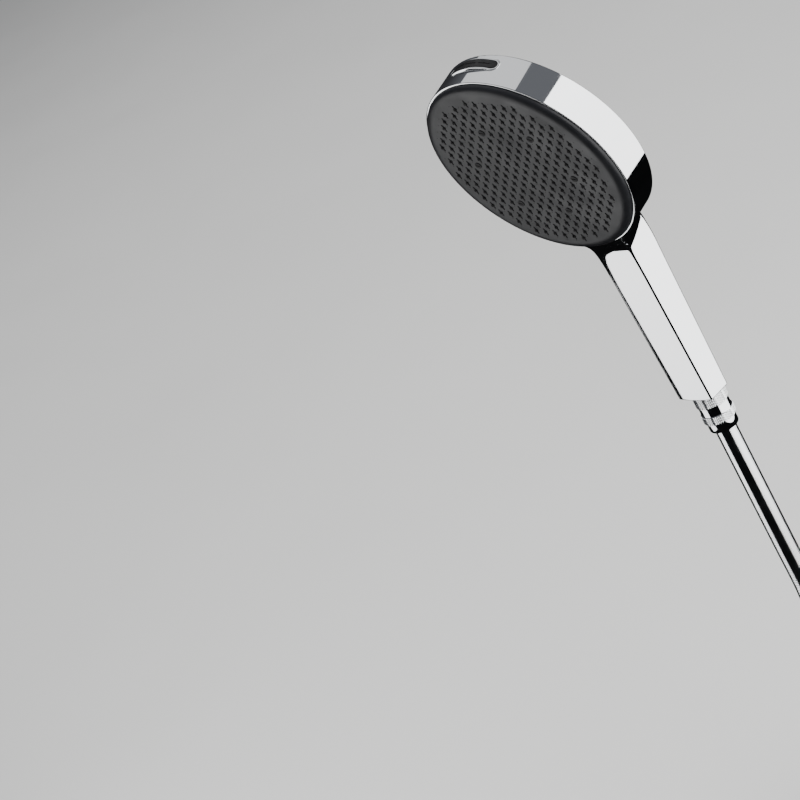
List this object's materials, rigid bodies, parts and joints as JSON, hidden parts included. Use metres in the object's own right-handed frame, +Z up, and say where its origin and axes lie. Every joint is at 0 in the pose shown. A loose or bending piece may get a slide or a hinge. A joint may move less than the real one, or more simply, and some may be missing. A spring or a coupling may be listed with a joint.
{
  "type": "handheld shower head",
  "caption": "Round chrome handset with a flat dark nozzle face, a push button in the rim, a straight square handle, a knurled nut and a coiled hose.",
  "frame": {"origin": "centre of the handle's flat lower end, on the axis of the inlet thread, where a wall bracket holds the nut", "axes": "+Z up the handle, -Y the side the spray leaves, +X to the right of someone facing the spray's way"},
  "size_m": [0.2179, 0.1142, 0.6962],
  "materials": {
    "chrome_shell": "polished chrome plating",
    "face_plastic": "satin dark grey moulding",
    "nozzle_silicone": "soft black silicone",
    "engine_plastic": "plain moulded plastic",
    "rotor_plastic": "plain blue acetal",
    "seal_rubber": "black seal rubber",
    "steel": "bright stainless",
    "brass": "turned brass",
    "grip_rubber": "black soft grip",
    "chrome_button": "polished chrome plating",
    "chrome_nut": "polished chrome plating, knurled bands",
    "hose_skin": "silver ribbed hose",
    "tie_strap": "woven hook-and-loop strap"
  },
  "bodies": {
    "handset": {"body_shell": "chrome_shell", "face_plate": "face_plastic", "nozzle_mat": "nozzle_silicone", "fan_jets": "nozzle_silicone", "chamber_plate": "engine_plastic", "chamber_oring": "seal_rubber", "engine_screws": "steel", "diverter_housing": "engine_plastic", "housing_screws": "steel", "rotor_pin": "steel", "detent_ball": "steel", "detent_spring": "steel", "rod_seal": "seal_rubber", "button_frame": "engine_plastic", "button_spring": "steel", "water_tube": "engine_plastic", "tube_orings": "seal_rubber", "inlet_nipple": "chrome_nut", "nipple_oring": "seal_rubber", "check_valve_body": "engine_plastic", "poppet_spring": "steel", "flow_regulator": "rotor_plastic", "regulator_oring": "seal_rubber", "hose_nut": "chrome_nut", "filter_washer": "seal_rubber", "filter_mesh": "steel"},
    "rotor": {"diverter_rotor": "rotor_plastic", "rotor_pinion": "engine_plastic", "port_seal": "seal_rubber"},
    "button": {"button_cap": "chrome_button", "button_insert": "grip_rubber", "push_rod": "steel"},
    "poppet": {"check_poppet": "rotor_plastic", "poppet_seal": "seal_rubber"},
    "hose": {"upper_ferrule": "brass", "upper_sleeve": "steel", "hose_tube": "hose_skin", "hose_coil": "hose_skin", "hose_tail": "hose_skin", "coil_ties": "tie_strap", "lower_sleeve": "steel", "lower_ferrule": "brass"},
    "wall_end": {"wall_nut": "chrome_nut", "wall_washer": "seal_rubber"}
  },
  "joints": [
    {"name": "button_slide", "type": "slide", "parent": "handset", "child": "button", "axis": [0, 0.2419, -0.9703], "range_m": [0, 0.0035], "stiffness_N_per_m": 600, "springref_m": -0.003, "deforming": ["button_spring"]},
    {"name": "rotor_turn", "type": "hinge", "parent": "handset", "child": "rotor", "pos_m": [-0.0065, -0.04714, 0.20877], "axis": [0, 0.9703, 0.2419], "range_deg": [0, 44.6]},
    {"name": "poppet_lift", "type": "slide", "parent": "handset", "child": "poppet", "axis": [0, 0, 1], "range_m": [0, 0.002], "stiffness_N_per_m": 150, "springref_m": -0.002, "deforming": ["poppet_spring"]},
    {"name": "hose_swivel", "type": "hinge", "parent": "handset", "child": "hose", "pos_m": [0, 0, -0.0155], "axis": [0, 0, 1], "continuous": true},
    {"name": "wall_nut_spin", "type": "hinge", "parent": "hose", "child": "wall_end", "pos_m": [-0.043, 0.034, -0.3999], "axis": [0, 0, 1], "continuous": true}
  ],
  "couplings": [
    {"joint": "rotor_turn", "follows": "button_slide", "rad_per_m": 222.22}
  ]
}
